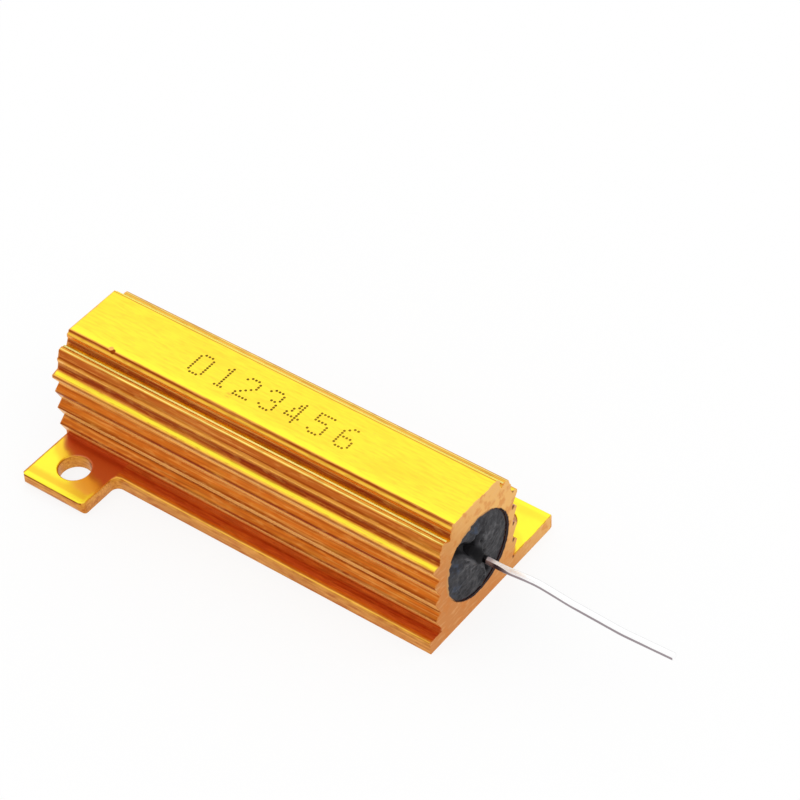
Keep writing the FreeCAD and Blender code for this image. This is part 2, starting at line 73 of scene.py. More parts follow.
class DyeAndShade(Enum):
    """Tones of the gold dye and of the painted highlights and painted shade laid on it, from the brightest
    to the deepest.
    """

    LEMON = (0.970, 0.850, 0.050)
    GOLD = (0.940, 0.720, 0.048)
    HONEY = (0.900, 0.600, 0.040)
    STRAW = (1.000, 0.860, 0.240)
    AMBER = (0.930, 0.520, 0.070)
    APRICOT = (0.930, 0.430, 0.100)
    SALMON = (1.000, 0.600, 0.190)
    TANGERINE = (0.980, 0.370, 0.055)
    OCHRE = (0.700, 0.300, 0.035)
    TAN = (0.620, 0.240, 0.045)
    ORANGE = (0.630, 0.150, 0.015)
    CLAY = (0.680, 0.255, 0.085)
    BRICK = (0.510, 0.118, 0.014)
    RUSSET = (0.590, 0.148, 0.055)
    CHESTNUT = (0.430, 0.092, 0.009)
    RUST = (0.350, 0.058, 0.008)
    UMBER = (0.280, 0.048, 0.002)
    OXBLOOD = (0.240, 0.026, 0.006)


@dataclass(frozen=True)
class Signal:
    """A value that varies over a surface: an output socket, with the arithmetic of a number."""

    graph: "Graph"
    socket: bpy.types.NodeSocket

    def beside(self, output: int | str) -> "Signal":
        """Another output of the same node."""
        return Signal(self.graph, self.socket.node.outputs[output])

    def _join(self, operation: str, first: "Value", second: "Value" = 0.0) -> "Signal":
        """Adds one Math node and returns its value."""
        return self.graph.add("ShaderNodeMath", {"operation": operation}, {0: first, 1: second})

    def __add__(self, other: "Value") -> "Signal":
        """Sum."""
        return self._join("ADD", self, other)

    def __radd__(self, other: "Value") -> "Signal":
        """Sum with a number on the left."""
        return self._join("ADD", other, self)

    def __sub__(self, other: "Value") -> "Signal":
        """Difference."""
        return self._join("SUBTRACT", self, other)

    def __rsub__(self, other: "Value") -> "Signal":
        """Difference from a number on the left."""
        return self._join("SUBTRACT", other, self)

    def __mul__(self, other: "Value") -> "Signal":
        """Product."""
        return self._join("MULTIPLY", self, other)

    def __rmul__(self, other: "Value") -> "Signal":
        """Product with a number on the left."""
        return self._join("MULTIPLY", other, self)

    def __mod__(self, other: "Value") -> "Signal":
        """Remainder, never negative."""
        return self._join("FLOORED_MODULO", self, other)

    def __abs__(self) -> "Signal":
        """Size without the sign."""
        return self._join("ABSOLUTE", self)

    def sign(self) -> "Signal":
        """1 above zero and -1 below it."""
        return self._join("SIGN", self)

    def root(self) -> "Signal":
        """Square root."""
        return self._join("SQRT", self)

    def diagonal(self, other: "Signal") -> "Signal":
        """Length of a line that runs this far one way and the other value the other way."""
        return (self * self + other * other).root()

    def least(self, other: "Value") -> "Signal":
        """The smaller of two values."""
        return self._join("MINIMUM", self, other)

    def most(self, other: "Value") -> "Signal":
        """The larger of two values."""
        return self._join("MAXIMUM", self, other)

    def step(self, low: float, high: float) -> "Signal":
        """Rises smoothly from 0 at low to 1 at high.

        Args:
            low: Value at which the result leaves 0; it may be above high for a fall.
            high: Value at which the result reaches 1.

        Returns:
            A mask between 0 and 1.
        """
        settings = {"interpolation_type": "SMOOTHSTEP"}
        if low <= high:
            return self.graph.add("ShaderNodeMapRange", settings, {0: self, 1: low, 2: high})
        return 1.0 - self.graph.add("ShaderNodeMapRange", settings, {0: self, 1: high, 2: low})

    def band(self, middle: float, width: float, blur: float) -> "Signal":
        """Is 1 within a band of a full width round its middle, and falls off over a blur on both sides."""
        return abs(self - middle).step(width / 2 + blur, width / 2)


Paint = Union[DyeAndShade, Colour]
Value = Union[float, Signal]
Input = Union[float, Signal, DyeAndShade, tuple]
Bands = tuple[tuple[float, DyeAndShade], ...]


@dataclass(frozen=True)
class Grain:
    """Noise: its repeats in each metre along X, Y and Z, its finer layers and its turn in radians."""

    scale: Triple
    detail: float = 2.0
    turn: Triple = (0.0, 0.0, 0.0)


class Graph:
    """The node tree of one procedural material, or of the world, under construction."""

    def __init__(self, owner: Material | bpy.types.World) -> None:
        """Starts a tree with nothing but its own shader.

        Args:
            owner: The material or world that the tree belongs to.
        """
        owner.use_nodes = True
        self.owner = owner
        self.tree = owner.node_tree
        self.shader = next(node for node in self.tree.nodes if not node.name.endswith("Output"))

    @classmethod
    def material(cls, name: str) -> "Graph":
        """Starts a new material."""
        return cls(bpy.data.materials.new(name))

    def add(
        self,
        kind: str,
        settings: dict[str, Any] | None = None,
        inputs: dict[int | str, Input] | None = None,
        output: int | str = 0,
    ) -> Signal:
        """Adds a node, sets it up and feeds it.

        Args:
            kind: Blender's name for the type of node.
            settings: Properties that are set first; "stops" holds a ramp's positions and colours.
            inputs: Numbers, colours or signals for its sockets, by place or name.
            output: The output that is wanted.

        Returns:
            The node's output as a signal.
        """
        node = self.tree.nodes.new(kind)
        for key, setting in (settings or {}).items():
            if key == "stops":
                self._set_stops(node.color_ramp, setting)
            else:
                setattr(node, key, setting)
        for key, given in (inputs or {}).items():
            self.feed(node.inputs[key], given)
        return Signal(self, node.outputs[output])

    @staticmethod
    def _set_stops(ramp: bpy.types.ColorRamp, stops: list[tuple[float, Colour]]) -> None:
        """Gives a ramp its stops.

        Args:
            ramp: A new ramp.
            stops: Positions in rising order, each with its colour.
        """
        while len(ramp.elements) < len(stops):
            ramp.elements.new(1.0)
        for element, (position, colour) in zip(ramp.elements, stops):
            element.position = position
            element.color = (*colour, 1.0)

    def feed(self, socket: bpy.types.NodeSocket, given: Input) -> None:
        """Links a signal to an input, or sets a constant on it.

        Args:
            socket: The input.
            given: A signal, a number, a tone, a colour or a vector.
        """
        if isinstance(given, DyeAndShade):
            given = given.value
        if isinstance(given, Signal):
            self.tree.links.new(given.socket, socket)
        elif isinstance(given, tuple) and socket.type == "RGBA":
            socket.default_value = (*given, 1.0)
        else:
            socket.default_value = given

    def surface(self, **inputs: Input) -> None:
        """Sets sockets of the surface shader; an underscore stands for a space."""
        for key, given in inputs.items():
            self.feed(self.shader.inputs[key.replace("_", " ")], given)

    def looked_at(self) -> Signal:
        """Is 1 where the camera looks, straight, in a mirror or through glass, and 0 for soft light."""
        camera = self.add("ShaderNodeLightPath", output="Is Camera Ray")
        return camera.most(camera.beside("Is Glossy Ray")).most(camera.beside("Is Transmission Ray"))

    def show(self, shader: Signal) -> None:
        """Sends a shader to the tree's output."""
        output = next(node for node in self.tree.nodes if node.name.endswith("Output"))
        self.feed(output.inputs["Surface"], shader)

    def place(self) -> Signal:
        """Place on the piece, in the part's frame."""
        return self.add("ShaderNodeTexCoord", output="Object")

    def axes(self, vector: Signal) -> tuple[Signal, Signal, Signal]:
        """Splits a vector into its X, Y and Z values."""
        first = self.add("ShaderNodeSeparateXYZ", inputs={0: vector})
        return first, first.beside(1), first.beside(2)

    def millimetres(self) -> tuple[Signal, Signal, Signal]:
        """X, Y and Z of the place on the piece, in millimetres."""
        return tuple(axis * (1.0 / MM) for axis in self.axes(self.place()))

    def facing(self) -> tuple[Signal, Signal, Signal]:
        """Direction that the surface faces, in the part's frame."""
        return self.axes(self.add("ShaderNodeTexCoord", output="Normal"))

    def grain(self, grain: Grain) -> Signal:
        """Noise around 0.5 over the piece."""
        mapped = {0: self.place(), "Rotation": grain.turn, "Scale": grain.scale}
        inputs = {0: self.add("ShaderNodeMapping", inputs=mapped), "Scale": 1.0, "Detail": grain.detail}
        return self.add("ShaderNodeTexNoise", inputs=inputs)

    def distance(self, spot: Triple) -> Signal:
        """Distance from a spot on the part, both in millimetres."""
        centre = tuple(axis * MM for axis in spot)
        inputs = {0: self.place(), 1: centre}
        return self.add("ShaderNodeVectorMath", {"operation": "DISTANCE"}, inputs, "Value") * (1.0 / MM)

    def blend(self, share: Value, first: Input, second: Input) -> Signal:
        """Mixes two colours: a share of 0 shows the first and 1 the second."""
        inputs = {0: share, 6: first, 7: second}
        return self.add("ShaderNodeMix", {"data_type": "RGBA"}, inputs, output=2)

    def bands(self, level: Signal, bands: Bands) -> Signal:
        """Colours a surface by a level that runs through bands.

        Args:
            level: The value that picks the band.
            bands: Levels in falling order, each with its tone; between them the tones blend.

        Returns:
            The colour.
        """
        top, bottom = bands[0][0], bands[-1][0]
        share = self.add("ShaderNodeMapRange", inputs={0: level, 1: bottom, 2: top})
        stops = [((stop - bottom) / (top - bottom), tone.value) for stop, tone in reversed(bands)]
        return self.add("ShaderNodeValToRGB", {"stops": stops}, {0: share})

    def bump(self, height: Signal, depth: float) -> None:
        """Embosses a height from 0 to 1 into the surface, to a depth in millimetres."""
        inputs = {"Height": height, "Distance": depth * MM}
        self.surface(Normal=self.add("ShaderNodeBump", inputs=inputs))


@dataclass(frozen=True)
class Veil:
    """A tone that comes over a colour where a value runs from one level to another."""

    start: float
    full: float
    tone: Paint
    share: float = 1.0

    def over(self, colour: Input, value: Signal, within: Value = 1.0) -> Signal:
        """Lays the tone over a colour as far as a value says, within a mask."""
        mask = value.step(self.start, self.full) * self.share * within
        return value.graph.blend(mask, colour, self.tone)


@dataclass(frozen=True)
class Mark:
    """A veil that grows towards a spot on the part, with lengths in millimetres."""

    spot: Triple
    veil: Veil

    def over(self, colour: Signal, within: Value = 1.0) -> Signal:
        """Lays the veil over a colour round the spot, within a mask."""
        return self.veil.over(colour, colour.graph.distance(self.spot), within)


@dataclass(frozen=True)
class SmearedRim:
    """Metal that the saw dragged over the compound on one side of the bore, and on the other the
    compound's dark rim, a painted shadow of the gap at the bore's edge.
    """

    drag: Span = (0.40, -0.38)
    edge: Span = (5.46, 5.32)
    teeth: Grain = Grain((1900.0,) * 3)
    ragged: float = 0.34

    def inside(self, y: Signal, aside: Signal) -> Signal:
        """Is 1 within the compound's shifted edge, where a sawn end shows the dark rim of painted shadow,
        with places in millimetres from the bore's axis.
        """
        away = (y - self.drag[0]).diagonal(aside - self.drag[1])
        return (away + y.graph.grain(self.teeth) * self.ragged).step(*self.edge)


@dataclass(frozen=True)
class CompoundFinish:
    """Dark, dull potting compound, with a painted highlight on its swellings, painted shade, near black,
    in its folds and round the lead, and painted shadow at its rim.
    """

    pit: Colour = (0.0035, 0.0030, 0.0045)
    dark: Colour = (0.014, 0.013, 0.016)
    slate: Colour = (0.058, 0.057, 0.062)
    rim: Colour = (0.022, 0.007, 0.009)
    clouds: Grain = Grain((650.0,) * 3, 4.0)
    cloud_span: Span = (0.34, 0.66)
    cloud_share: float = 0.55
    crumbs: Grain = Grain((1900.0,) * 3, 3.0)
    crumb_span: Span = (0.42, 0.70)
    crumb_share: float = 0.45
    specks: Grain = Grain((5200.0,) * 3)
    relief: str = "relief"
    swelling: Veil = Veil(0.42, 0.62, (0.115, 0.112, 0.118), 0.8)
    swelling_ragged: float = 0.3
    blue: Veil = Veil(1.3, 0.2, (0.040, 0.058, 0.100), 0.75)
    blue_crumbs: Span = (0.35, 0.65)
    blue_spots: tuple[Span, ...] = ((-3.7, -2.0), (-0.4, 3.9), (-3.8, 1.1))
    fold: Veil = Veil(0.05, -0.30, pit)
    fold_ragged: float = 0.2
    funnel: Veil = Veil(1.15, 0.70, pit)
    border: Veil = Veil(5.18, 5.36, rim)
    border_ragged: float = 0.5
    dragged_metal: Veil = Veil(24.0, 24.5, (0.60, 0.29, 0.09))
    roughness: float = 0.55
    unevenness: float = 0.25
    sheen: float = 0.3
    bump_crumbs: float = 0.6
    bump_specks: float = 0.4
    bump_depth: float = 0.09

    def build(self) -> Material:
        """Makes the material."""
        graph = Graph.material("potting_compound")
        x, y, z = graph.millimetres()
        aside = z - AXIS_HEIGHT
        from_axis = y.diagonal(aside)
        height = graph.add("ShaderNodeAttribute", {"attribute_name": self.relief}, output="Fac")
        clouds, crumbs, specks = (graph.grain(grain) for grain in (self.clouds, self.crumbs, self.specks))
        shade = clouds.step(*self.cloud_span) * self.cloud_share
        shade = shade + crumbs.step(*self.crumb_span) * self.crumb_share
        body = graph.blend(shade, self.dark, self.slate)
        # Painted highlight, pale ash, on the swellings of the relief.
        body = self.swelling.over(body, height + crumbs * self.swelling_ragged)
        for across, up in self.blue_spots:
            body = self.blue.over(body, (y - across).diagonal(aside - up), crumbs.step(*self.blue_crumbs))
        # Painted shade, near black, in the folds of the relief.
        body = self.fold.over(body, height + crumbs * self.fold_ragged)
        # Painted shade, near black, round the lead's root.
        body = self.funnel.over(body, from_axis)
        # Painted shadow, dark red-brown, in a ragged ring at the rim, where the gap to the bore is.
        body = self.border.over(body, from_axis + crumbs * self.border_ragged)
        body = self.dragged_metal.over(body, abs(x), 1.0 - SmearedRim().inside(y, aside))
        roughness = self.roughness + clouds * self.unevenness
        graph.surface(Base_Color=body, Roughness=roughness, Specular_IOR_Level=self.sheen)
        graph.bump(crumbs * self.bump_crumbs + specks * self.bump_specks, self.bump_depth)
        return graph.owner


@dataclass(frozen=True)
class AnodisedFinish:
    """Gold dye on the extrusion, with fine streaks drawn along it by the die, and painted highlights and
    painted shade laid over it in lines.

    A level in millimetres falls all the way down the section, from the flat over the ribs,
    shoulders, ledges and fins to the foot, and picks the tone of each line: a pale one for a
    painted highlight on a ledge, crest or fin tip, a deep one for painted shade in a groove or under a
    fin.
    """

    level_of_height: float = 0.72
    level_of_width: float = 0.57
    # Tones down the section: the pale ones are painted highlights on ledges, crests and fin tips, the deep
    # ones painted shade and dark reflection in grooves, under the fins and on the foot.
    crown: Bands = (
        (9.60, DyeAndShade.GOLD), (8.86, DyeAndShade.LEMON), (8.80, DyeAndShade.AMBER), (8.74, DyeAndShade.TAN), (8.68, DyeAndShade.UMBER),
        (8.56, DyeAndShade.RUST), (8.46, DyeAndShade.OCHRE), (8.37, DyeAndShade.HONEY), (8.29, DyeAndShade.AMBER),
        (8.14, DyeAndShade.OCHRE), (8.05, DyeAndShade.TANGERINE), (7.92, DyeAndShade.TANGERINE), (7.83, DyeAndShade.TAN),
        (7.70, DyeAndShade.RUST), (7.58, DyeAndShade.OXBLOOD), (7.48, DyeAndShade.RUST), (7.36, DyeAndShade.TAN),
        (7.26, DyeAndShade.OCHRE), (7.18, DyeAndShade.AMBER), (7.10, DyeAndShade.HONEY), (6.98, DyeAndShade.AMBER),
        (6.92, DyeAndShade.AMBER), (6.87, DyeAndShade.OCHRE), (6.81, DyeAndShade.OCHRE), (6.75, DyeAndShade.STRAW),
        (6.72, DyeAndShade.STRAW), (6.65, DyeAndShade.OCHRE), (6.57, DyeAndShade.CHESTNUT), (6.40, DyeAndShade.BRICK),
    )
    flank: Bands = (
        (6.40, DyeAndShade.BRICK), (5.94, DyeAndShade.BRICK), (5.85, DyeAndShade.UMBER), (5.74, DyeAndShade.CHESTNUT),
        (5.63, DyeAndShade.OCHRE), (5.54, DyeAndShade.APRICOT), (5.40, DyeAndShade.SALMON), (5.29, DyeAndShade.TAN), (5.17, DyeAndShade.RUST),
        (5.04, DyeAndShade.OXBLOOD), (4.92, DyeAndShade.OXBLOOD), (4.80, DyeAndShade.RUST), (4.68, DyeAndShade.RUST),
        (4.59, DyeAndShade.CHESTNUT), (4.50, DyeAndShade.OCHRE), (4.42, DyeAndShade.HONEY), (4.34, DyeAndShade.LEMON),
        (4.18, DyeAndShade.LEMON), (4.10, DyeAndShade.GOLD), (4.02, DyeAndShade.AMBER), (3.94, DyeAndShade.TAN), (3.84, DyeAndShade.UMBER),
        (3.70, DyeAndShade.TAN), (3.60, DyeAndShade.SALMON), (3.27, DyeAndShade.SALMON),
    )
    upper_fin: Bands = (
        (3.27, DyeAndShade.SALMON), (3.12, DyeAndShade.APRICOT), (3.03, DyeAndShade.BRICK), (2.92, DyeAndShade.CHESTNUT),
        (2.82, DyeAndShade.ORANGE), (2.44, DyeAndShade.ORANGE), (2.34, DyeAndShade.CHESTNUT), (2.27, DyeAndShade.OXBLOOD),
        (2.14, DyeAndShade.OXBLOOD), (2.03, DyeAndShade.CHESTNUT), (1.94, DyeAndShade.APRICOT), (1.90, DyeAndShade.SALMON),
        (1.54, DyeAndShade.SALMON),
    )
    middle_fin: Bands = (
        (1.54, DyeAndShade.SALMON), (1.46, DyeAndShade.APRICOT), (1.38, DyeAndShade.BRICK), (1.26, DyeAndShade.BRICK),
        (1.16, DyeAndShade.ORANGE), (0.88, DyeAndShade.ORANGE), (0.78, DyeAndShade.BRICK), (0.68, DyeAndShade.CHESTNUT),
        (0.58, DyeAndShade.UMBER), (0.50, DyeAndShade.RUST), (0.42, DyeAndShade.SALMON), (-0.15, DyeAndShade.SALMON),
        (-0.21, DyeAndShade.TAN),
    )
    lower_fin: Bands = (
        (-0.21, DyeAndShade.TAN), (-0.29, DyeAndShade.UMBER), (-0.40, DyeAndShade.CHESTNUT), (-0.50, DyeAndShade.ORANGE),
        (-0.60, DyeAndShade.ORANGE), (-0.72, DyeAndShade.BRICK), (-0.84, DyeAndShade.BRICK), (-0.98, DyeAndShade.ORANGE),
        (-1.08, DyeAndShade.CHESTNUT), (-1.15, DyeAndShade.OXBLOOD), (-1.22, DyeAndShade.OXBLOOD), (-1.29, DyeAndShade.TAN),
        (-1.34, DyeAndShade.SALMON), (-1.60, DyeAndShade.SALMON), (-1.74, DyeAndShade.TANGERINE), (-1.86, DyeAndShade.ORANGE),
    )
    foot: Bands = (
        (-1.86, DyeAndShade.ORANGE), (-2.00, DyeAndShade.ORANGE), (-2.15, DyeAndShade.CLAY), (-2.48, DyeAndShade.CLAY),
        (-2.60, DyeAndShade.RUSSET), (-3.08, DyeAndShade.RUSSET), (-3.18, DyeAndShade.ORANGE), (-3.25, DyeAndShade.TAN),
        (-3.42, DyeAndShade.TAN), (-3.50, DyeAndShade.APRICOT),
    )
    ramp_overlap: float = 0.01
    wavering: Grain = Grain((45.0, 260.0, 260.0), 1.0)
    waver: float = 0.05
    streaks: Grain = Grain((180.0, 5200.0, 5200.0), 3.0)
    streak: Veil = Veil(0.48, 0.75, DyeAndShade.OCHRE, 0.22)
    lines: Grain = Grain((90.0, 4600.0, 4600.0), 3.0)
    dark_line: Veil = Veil(0.46, 0.34, DyeAndShade.UMBER, 0.38)
    pale_line: Veil = Veil(0.54, 0.66, DyeAndShade.APRICOT, 0.34)
    mottle: Grain = Grain((160.0, 900.0, 900.0), 3.0)
    blotch: Veil = Veil(0.52, 0.80, DyeAndShade.AMBER, 0.20)
    flecks: Grain = Grain((620.0, 3400.0, 3400.0), 4.0)
    dark_fleck: Veil = Veil(0.49, 0.36, DyeAndShade.CHESTNUT, 0.28)
    pale_fleck: Veil = Veil(0.53, 0.68, DyeAndShade.APRICOT, 0.24)
    clean_ledge: Triple = (4.26, 0.16, 0.08)
    clean_share: float = 0.8
    flat_height: Span = (14.99, 15.03)
    flat_level: Span = (8.80, 8.88)
    waves: Grain = Grain((520.0, 3600.0, 1.0), 3.0, (0.0, 0.0, math.radians(5.0)))
    pale_wave: Veil = Veil(0.40, 0.66, DyeAndShade.LEMON, 0.45)
    deep_wave: Veil = Veil(0.47, 0.28, DyeAndShade.HONEY, 0.55)
    clouds: Grain = Grain((90.0, 300.0, 1.0))
    deep_cloud: Veil = Veil(0.50, 0.72, DyeAndShade.HONEY, 0.4)
    crumbs: Grain = Grain((1500.0, 3000.0, 1.0), 3.0)
    warm_crumb: Veil = Veil(0.56, 0.74, DyeAndShade.AMBER, 0.22)
    near_border: Veil = Veil(2.9, 3.9, DyeAndShade.LEMON)
    smear: Mark = Mark((-4.8, -1.95, FLAT_HEIGHT), Veil(0.7, 0.1, DyeAndShade.TAN, 0.5))
    smear_waves: Span = (0.4, 0.6)
    beyond_out: Span = (3.52, 3.58)
    beyond_height: Span = (13.6, 13.8)
    beyond_line: Triple = (3.85, 0.34, 0.06)
    beyond_slope: Veil = Veil(4.10, 4.25, DyeAndShade.APRICOT)
    beyond_edge: Veil = Veil(4.45, 4.58, DyeAndShade.LEMON)
    nick: Mark = Mark((-18.95, -3.66, FLAT_HEIGHT - 0.05), Veil(0.36, 0.24, DyeAndShade.UMBER))
    spot: Mark = Mark((-19.35, -3.45, FLAT_HEIGHT), Veil(0.34, 0.22, DyeAndShade.APRICOT))
    half_length: float = 25.0
    wall: float = 6.25
    tab_along: Span = (16.30, 16.55)
    tab_height: Span = (2.2, 1.9)
    tab_facing: Span = (0.5, 0.8)
    tab_clouds: Grain = Grain((420.0,) * 3, 3.0)
    tab_cloud: Veil = Veil(0.40, 0.70, DyeAndShade.GOLD, 0.5)
    rim_ragged: float = 0.8
    rim_out: Span = (12.0, 12.8)
    rim_clear: Span = (1.6, 0.6)
    rim_near: Span = (2.0, -2.0)
    rim_far_share: float = 0.35
    warm_along: Span = (22.6, 17.5)
    warm_out: Span = (13.4, 11.4)
    tab_ragged: float = 0.4
    tab_warmth: Veil = Veil(0.60, 1.05, DyeAndShade.AMBER)
    deep_slope: float = 0.6
    tab_deep: Veil = Veil(21.7, 20.0, DyeAndShade.OCHRE)
    tab_border: Veil = Veil(12.75, 13.05, DyeAndShade.LEMON)
    corner_out: Span = (11.2, 12.0)
    tab_corner: Veil = Veil(17.1, 16.8, DyeAndShade.GOLD)
    reflection_reach: float = 1.36
    reflection_ragged: float = 1.5
    fin_reflection_edge: Veil = Veil(0.45, -0.20, DyeAndShade.TAN)
    fin_reflection: Veil = Veil(0.0, -0.65, DyeAndShade.RUSSET)
    cut_edge: Veil = Veil(24.98, 25.10, DyeAndShade.CHESTNUT, 0.7)
    foot_height: Span = (1.72, 1.68)
    foot_out: Span = (7.9, 8.1)
    foot_facing: Span = (0.5, 0.25)
    side_rise: Veil = Veil(0.6, 1.6, DyeAndShade.OCHRE)
    wear: Grain = Grain((650.0, 650.0, 1600.0), 4.0)
    worn_dark: Veil = Veil(0.50, 0.34, DyeAndShade.CHESTNUT, 0.55)
    worn_pale: Veil = Veil(0.54, 0.70, DyeAndShade.APRICOT, 0.40)
    round_facing: Triple = (0.6, 0.4, 0.1)
    arris_out: Span = (13.33, 13.45)
    arris_height: Span = (1.42, 1.5)
    hole_along: float = 20.85
    hole_out: float = 9.75
    hole_edge: Span = (1.9, 1.8)
    hole_rise: Veil = Veil(0.5, 1.6, DyeAndShade.OCHRE)
    hole_dark_spot: Mark = Mark((-19.9, -8.25, 1.2), Veil(0.55, 0.25, DyeAndShade.OXBLOOD, 0.85))
    under_height: Span = (0.2, 0.1)
    underside: Veil = Veil(-0.8, -0.95, DyeAndShade.HONEY)
    end_along: Span = (24.7, 24.9)
    end_facing: Span = (0.6, 0.9)
    end_burrs: Grain = Grain((1500.0,) * 3, 3.0)
    end_ragged: float = 0.5
    ragged_along: Span = (25.10, 25.22)
    sawn_warm: Colour = (0.68, 0.28, 0.075)
    sawn_slope: float = 0.7
    sawn_ragged: float = 3.0
    sawn_tan: Veil = Veil(3.0, 13.0, (0.90, 0.54, 0.18))
    sawn_patches: Grain = Grain((900.0,) * 3, 4.0)
    sawn_orange: Veil = Veil(0.50, 0.64, (0.70, 0.25, 0.045), 0.55)
    sawn_streaks: Grain = Grain((1.0, 700.0, 2600.0), 3.0, (math.radians(35.0), 0.0, 0.0))
    sawn_pale: Veil = Veil(0.50, 0.70, (0.88, 0.55, 0.24), 0.35)
    fin_pitch: float = 2.4
    valley_spot_height: float = 11.55
    valley_spot_out: float = 6.75
    valley_spot_lean: float = 0.4
    valley_spot_flatness: float = 0.5
    valley_spot_top: Span = (12.5, 12.3)
    valley_spot: Veil = Veil(0.30, 0.12, (0.20, 0.06, 0.02))
    below_facing: Span = (-0.2, -0.5)
    below_height: Span = (0.2, 0.4)
    below_dullness: float = 0.72
    roughness: float = 0.34
    sawn_roughness: float = 0.62
    streak_depth: float = 0.004

    def build(self) -> Material:
        """Makes the material."""
        graph = Graph.material("gold_anodised")
        place = graph.millimetres()
        x, y, z = place
        face_x, _, face_z = graph.facing()
        level = z * self.level_of_height - abs(y) * self.level_of_width
        dyed_and_shaded = self._section(level + (graph.grain(self.wavering) - 0.5) * self.waver)
        dyed_and_shaded = self._edges(dyed_and_shaded, place, face_z)
        streaks, lines, flecks = (graph.grain(grain) for grain in (self.streaks, self.lines, self.flecks))
        dull = 1.0 - level.band(*self.clean_ledge) * self.clean_share
        dyed_and_shaded = self.streak.over(dyed_and_shaded, streaks)
        dyed_and_shaded = self.dark_line.over(dyed_and_shaded, lines, dull)
        dyed_and_shaded = self.pale_line.over(dyed_and_shaded, lines)
        dyed_and_shaded = self.blotch.over(dyed_and_shaded, graph.grain(self.mottle))
        dyed_and_shaded = self.dark_fleck.over(dyed_and_shaded, flecks, dull)
        dyed_and_shaded = self.pale_fleck.over(dyed_and_shaded, flecks)
        dyed_and_shaded = self._flat(dyed_and_shaded, place, level)
        dyed_and_shaded = self._tabs(dyed_and_shaded, place, face_z)
        dyed_and_shaded = self.underside.over(dyed_and_shaded, face_z, z.step(*self.under_height))
        sawn = self._sawn_mask(x, face_x)
        below = face_z.step(*self.below_facing) * z.step(*self.below_height)
        graph.surface(
            Base_Color=graph.blend(sawn, dyed_and_shaded, self._sawn_face(y, z)),
            Metallic=1.0 - below * self.below_dullness,
            Specular_IOR_Level=FAINT_SHEEN,
            Roughness=self.roughness + sawn * (self.sawn_roughness - self.roughness),
        )
        graph.bump(streaks, self.streak_depth)
        return graph.owner

    def _section(self, level: Signal) -> Signal:
        """Painted highlights and painted shade of the extruded body, over its gold dye, from the flat down
        to the foot.

        Args:
            level: The level down the section.

        Returns:
            The colour.
        """
        graph = level.graph
        body = graph.bands(level, self.crown)
        for ramp in (self.flank, self.upper_fin, self.middle_fin, self.lower_fin, self.foot):
            start = ramp[0][0]
            reached = level.step(start + self.ramp_overlap, start - self.ramp_overlap)
            body = graph.blend(reached, body, graph.bands(level, ramp))
        return body

    def _flat(self, dyed_and_shaded: Signal, place: tuple[Signal, ...], level: Signal) -> Signal:
        """The flat on top, crossed by fine waves, the strips beyond it with their painted highlights and
        painted shade, and small marks of handling.

        Args:
            dyed_and_shaded: The colour beneath.
            place: X, Y and Z.
            level: The level down the section.

        Returns:
            The new colour.
        """
        graph, (_, y, z) = dyed_and_shaded.graph, place
        waves = graph.grain(self.waves)
        gold = self.pale_wave.over(DyeAndShade.GOLD, waves)
        gold = self.deep_wave.over(gold, waves)
        gold = self.deep_cloud.over(gold, graph.grain(self.clouds))
        gold = self.warm_crumb.over(gold, graph.grain(self.crumbs))
        gold = self.near_border.over(gold, waves - y)
        gold = self.smear.over(gold, waves.step(*self.smear_waves))
        dyed_and_shaded = graph.blend(z.step(*self.flat_height) * level.step(*self.flat_level), dyed_and_shaded, gold)
        # The strips beyond the flat on the far side: painted highlights in lemon, painted shade in tan and
        # apricot.
        strip = graph.blend(y.band(*self.beyond_line), DyeAndShade.TAN, DyeAndShade.LEMON)
        strip = self.beyond_slope.over(strip, y)
        strip = self.beyond_edge.over(strip, y)
        dyed_and_shaded = graph.blend(y.step(*self.beyond_out) * z.step(*self.beyond_height), dyed_and_shaded, strip)
        return self.spot.over(self.nick.over(dyed_and_shaded))

    def _tabs(self, dyed_and_shaded: Signal, place: tuple[Signal, ...], face_z: Signal) -> Signal:
        """Upper faces of the two bolt tabs, with painted highlights along their edges and a painted
        reflection of the body and fins on them beside the body.

        Args:
            dyed_and_shaded: The colour beneath.
            place: X, Y and Z.
            face_z: How far up the surface faces.

        Returns:
            The new colour.
        """
        graph, (x, y, z) = dyed_and_shaded.graph, place
        along, out = x * y.sign(), abs(y)
        from_end = (self.half_length - abs(x)).most(0.0)
        clear = out - self.wall - from_end.root() * self.reflection_reach
        cloud = graph.grain(self.tab_clouds)
        rim = (out + cloud * self.rim_ragged).step(*self.rim_out)
        rim = rim.most((clear - cloud).step(*self.rim_clear))
        tab = self.tab_cloud.over(DyeAndShade.LEMON, cloud)
        # Painted shade, honey, along the tabs' outer rim and beside the wall, full on the near tab and
        # fainter on the far one.
        tab = graph.blend(rim * y.step(*self.rim_near).most(self.rim_far_share), tab, DyeAndShade.HONEY)
        # Painted reflection of the body, amber and then ochre, deepening towards the inner corner.
        warmth = along.step(*self.warm_along) * out.step(*self.warm_out)
        tab = self.tab_warmth.over(tab, warmth + cloud * self.tab_ragged)
        tab = self.tab_deep.over(tab, along * self.deep_slope + out)
        # Painted highlights: lemon along the outer edge, gold along the inner end.
        tab = self.tab_border.over(tab, out)
        tab = self.tab_corner.over(tab, along, out.step(*self.corner_out))
        # Painted reflection of the fins, tan edging into russet, in a curved band beside the wall.
        reflection_level = clear + (cloud - 0.5) * self.reflection_ragged
        tab = self.fin_reflection_edge.over(tab, reflection_level)
        tab = self.fin_reflection.over(tab, reflection_level)
        tab = self.cut_edge.over(tab, abs(x) + cloud * self.tab_ragged)
        top = z.step(*self.tab_height) * face_z.step(*self.tab_facing) * along.step(*self.tab_along)
        return graph.blend(top, dyed_and_shaded, tab)

